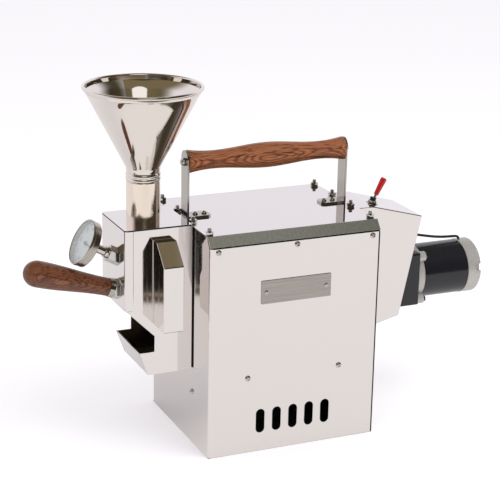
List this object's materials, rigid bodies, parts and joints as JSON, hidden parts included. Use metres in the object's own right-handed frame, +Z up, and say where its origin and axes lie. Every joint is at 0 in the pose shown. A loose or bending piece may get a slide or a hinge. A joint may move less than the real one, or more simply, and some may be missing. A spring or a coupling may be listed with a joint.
{
  "type": "home coffee bean roaster",
  "caption": "Motor-driven drum coffee roaster: folded steel case on an open base, funnel, thermometer, sampler, gate and tray in front, gear motor behind.",
  "frame": {"origin": "on the surface the roaster stands on, under the middle of its length and width", "axes": "+Z up, +X towards the motor, -X towards the front chamber with the funnel and the tray, the near side of the picture is -Y"},
  "size_m": [0.4713, 0.1518, 0.3422],
  "materials": {
    "polished_stainless": "mirror polished sheet, a faint warm cast",
    "nickel_steel": "bright plated fasteners",
    "brushed_stainless": "fine brushed",
    "heat_tinted_steel": "dull, heat tinted",
    "oiled_hardwood": "turned and oiled, reddish brown",
    "black_enamel": "semi gloss black",
    "cast_alloy": "cast, lightly machined",
    "black_rubber": "matte",
    "dial_white": "printed white card under glass",
    "needle_black": "matte black",
    "dial_glass": "clear",
    "switch_black": "moulded black",
    "red_vinyl": "red dipped sleeve"
  },
  "bodies": {
    "frame": {"case_shell": "polished_stainless", "rear_plate": "polished_stainless", "top_cover": "polished_stainless", "cover_studs": "nickel_steel", "cover_nuts": "nickel_steel", "case_screws": "nickel_steel", "name_plate": "brushed_stainless", "name_plate_screws": "nickel_steel", "heat_baffle": "heat_tinted_steel", "handle_leg_front": "brushed_stainless", "handle_leg_rear": "brushed_stainless", "handle_grip": "oiled_hardwood", "handle_rod": "nickel_steel", "handle_nuts": "nickel_steel", "foot_screws": "nickel_steel", "chamber_gasket": "black_rubber", "chamber_front": "polished_stainless", "chamber_side_near": "polished_stainless", "chamber_side_far": "polished_stainless", "chamber_lid": "polished_stainless", "chute_tray": "polished_stainless", "feed_chute": "polished_stainless", "gate_guides": "polished_stainless", "hopper_tube": "polished_stainless", "thermo_fitting": "nickel_steel", "thermo_stem": "nickel_steel", "thermo_case": "brushed_stainless", "thermo_dial": "dial_white", "thermo_lens": "dial_glass", "sampler_socket": "brushed_stainless", "shaft_bearing": "heat_tinted_steel", "rear_housing": "polished_stainless", "motor_bracket": "nickel_steel", "bracket_posts": "nickel_steel", "gearbox": "black_enamel", "motor_flange": "cast_alloy", "motor_can": "black_enamel", "motor_end_cap": "cast_alloy", "motor_screws": "black_enamel", "motor_lead": "black_rubber", "lead_grommet": "black_rubber", "toggle_body": "switch_black", "toggle_nut": "nickel_steel"},
    "drum": {"drum_shell": "heat_tinted_steel", "drum_front_ring": "heat_tinted_steel", "drum_back_plate": "heat_tinted_steel", "drum_vanes": "heat_tinted_steel", "drum_shaft": "nickel_steel", "shaft_coupling": "nickel_steel", "motor_shaft": "nickel_steel"},
    "gate": {"discharge_gate": "polished_stainless", "gate_studs": "nickel_steel", "gate_pull": "polished_stainless"},
    "funnel_part": {"funnel": "polished_stainless"},
    "sampler": {"sampler_scoop": "polished_stainless", "sampler_ferrule": "brushed_stainless", "sampler_grip": "oiled_hardwood"},
    "needle": {"thermo_needle": "needle_black"},
    "toggle_lever": {"toggle_bat": "nickel_steel", "toggle_sleeve": "red_vinyl"}
  },
  "joints": [
    {"name": "drum_spin", "type": "hinge", "parent": "frame", "child": "drum", "pos_m": [0, 0, 0.133], "axis": [1, 0, 0], "continuous": true},
    {"name": "gate_slide", "type": "slide", "parent": "frame", "child": "gate", "axis": [0, 0, 1], "range_m": [0, 0.022]},
    {"name": "funnel_lift", "type": "slide", "parent": "frame", "child": "funnel_part", "axis": [0, 0, 1], "range_m": [0, 0.045]},
    {"name": "sampler_slide", "type": "slide", "parent": "frame", "child": "sampler", "axis": [-0.9563, 0, 0.2924], "range_m": [0, 0.11]},
    {"name": "needle_turn", "type": "hinge", "parent": "frame", "child": "needle", "pos_m": [-0.1468, -0.012, 0.187], "axis": [-0.8829, 0, 0.4695], "range_deg": [-270, 0]},
    {"name": "toggle_flip", "type": "hinge", "parent": "frame", "child": "toggle_lever", "pos_m": [0.11501, -0.012, 0.21368], "axis": [0, 1, 0], "range_deg": [-26, 0]}
  ]
}
